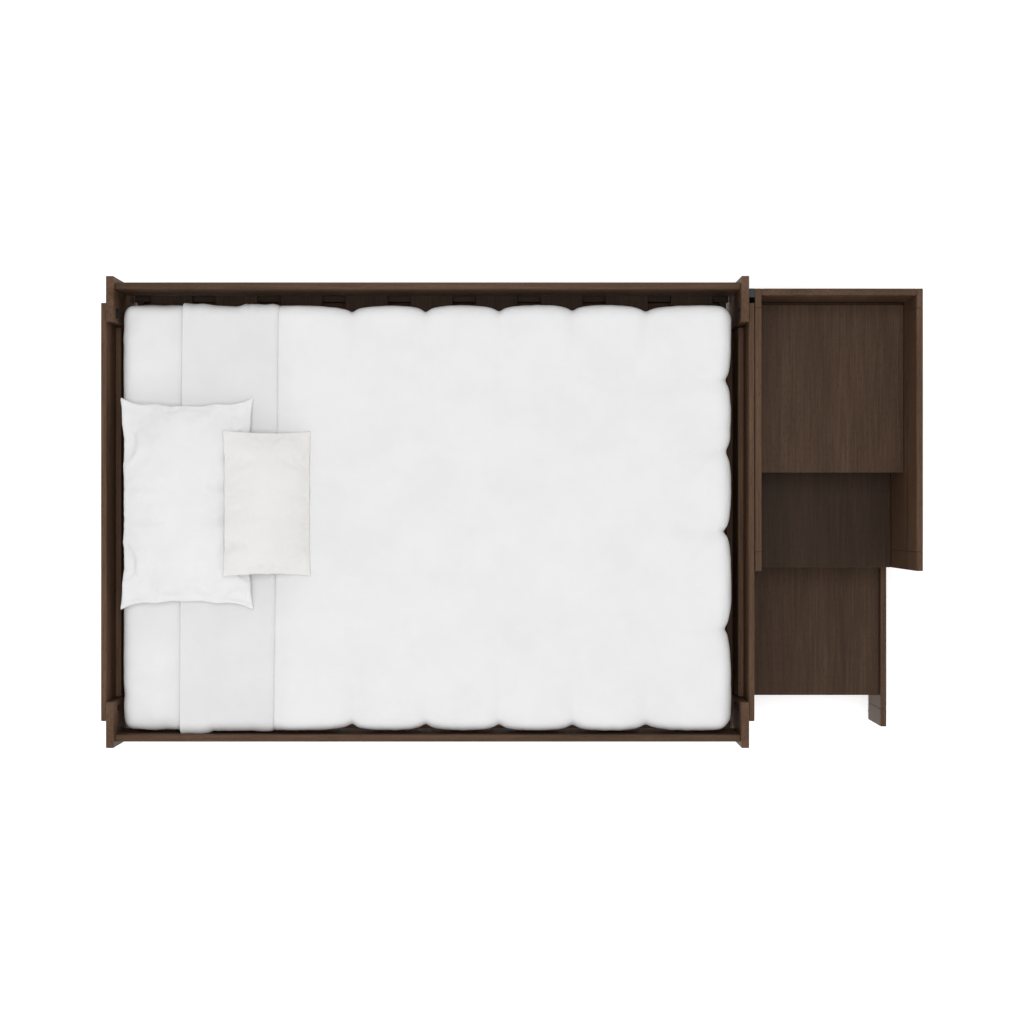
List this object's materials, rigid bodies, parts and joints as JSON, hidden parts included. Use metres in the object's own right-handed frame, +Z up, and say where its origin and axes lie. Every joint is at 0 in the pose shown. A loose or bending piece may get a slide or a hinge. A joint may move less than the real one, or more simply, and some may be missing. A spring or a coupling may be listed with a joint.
{
  "type": "wall bed",
  "caption": "Side-folding wall bed with corner posts, slatted deck, fold-in front legs, mattress, cover and pillows, joined to a stepped unit at its foot.",
  "frame": {"origin": "on the floor, under the middle of the object's bounding box", "axes": "+X along the bed from its head to the stepped unit, +Y towards the wall, +Z up"},
  "size_m": [2.5584, 1.466, 0.9182],
  "materials": {
    "dark_wood": "satin stained walnut-brown veneer",
    "inner_wood": "matt stained wood",
    "steel": "zinc-plated",
    "dark_steel": "blackened steel",
    "bronze": "sintered bronze",
    "black": "matt black",
    "mattress_cloth": "white fitted sheet",
    "cover_cloth": "white quilted cotton",
    "band_cloth": "pale grey cotton",
    "pillow_cloth": "white cotton",
    "cushion_cloth": "warm off-white cotton"
  },
  "bodies": {
    "root": {"rear_post_left": "dark_wood", "rear_post_right": "dark_wood", "wall_rail": "dark_wood", "wall_cleat": "inner_wood", "wall_rail_bolts": "dark_steel", "pivot_pin_left": "dark_steel", "pivot_pin_right": "dark_steel", "lift_spring_left": "steel", "lift_spring_right": "steel", "spacer_block": "black", "floor_glides": "black", "step_side_left_tall": "dark_wood", "step_side_left_low": "dark_wood", "step_side_right_tall": "dark_wood", "step_side_right_low": "dark_wood", "step_back": "dark_wood", "tread_top": "dark_wood", "tread_mid": "dark_wood", "tread_low": "dark_wood", "riser_top": "dark_wood", "riser_mid": "dark_wood", "riser_low": "dark_wood"},
    "deck": {"end_board_left": "dark_wood", "end_board_right": "dark_wood", "front_post_left": "dark_wood", "front_post_right": "dark_wood", "front_rail": "dark_wood", "front_rail_bolts": "dark_steel", "end_board_bolts": "dark_steel", "pivot_bush_left": "bronze", "pivot_bush_right": "bronze", "deck_end_left": "inner_wood", "deck_end_right": "inner_wood", "deck_rail_front": "inner_wood", "deck_rail_rear": "inner_wood", "deck_aprons": "inner_wood", "face_panel": "dark_wood", "pull_handles": "black", "leg_hinge_left": "steel", "leg_hinge_right": "steel", "mattress": "mattress_cloth", "comforter": "cover_cloth", "blanket_band": "band_cloth", "slat_1": "inner_wood", "slat_2": "inner_wood", "slat_3": "inner_wood", "slat_4": "inner_wood", "slat_5": "inner_wood", "slat_6": "inner_wood", "slat_7": "inner_wood", "slat_8": "inner_wood", "slat_9": "inner_wood"},
    "leg_left": {"leg_left": "dark_wood", "leg_leaf_left": "steel", "leg_glide_left": "black"},
    "leg_right": {"leg_right": "dark_wood", "leg_leaf_right": "steel", "leg_glide_right": "black"},
    "pillow": {"pillow": "pillow_cloth"},
    "cushion": {"cushion": "cushion_cloth"}
  },
  "joints": [
    {"name": "bed_fold", "type": "hinge", "parent": "root", "child": "deck", "pos_m": [-0.2622, 0.621, 0.74], "axis": [-1, 0, 0], "range_deg": [0, 90]},
    {"name": "leg_fold_left", "type": "hinge", "parent": "deck", "child": "leg_left", "pos_m": [-1.2317, -0.63, 0.43025], "axis": [0, -1, 0], "range_deg": [0, 90]},
    {"name": "leg_fold_right", "type": "hinge", "parent": "deck", "child": "leg_right", "pos_m": [0.7073, -0.63, 0.43025], "axis": [0, 1, 0], "range_deg": [0, 90]},
    {"name": "pillow_lift", "type": "slide", "parent": "deck", "child": "pillow", "axis": [0, 0, 1], "range_m": [0, 0.25]},
    {"name": "cushion_lift", "type": "slide", "parent": "pillow", "child": "cushion", "axis": [0, 0, 1], "range_m": [0, 0.2]}
  ]
}
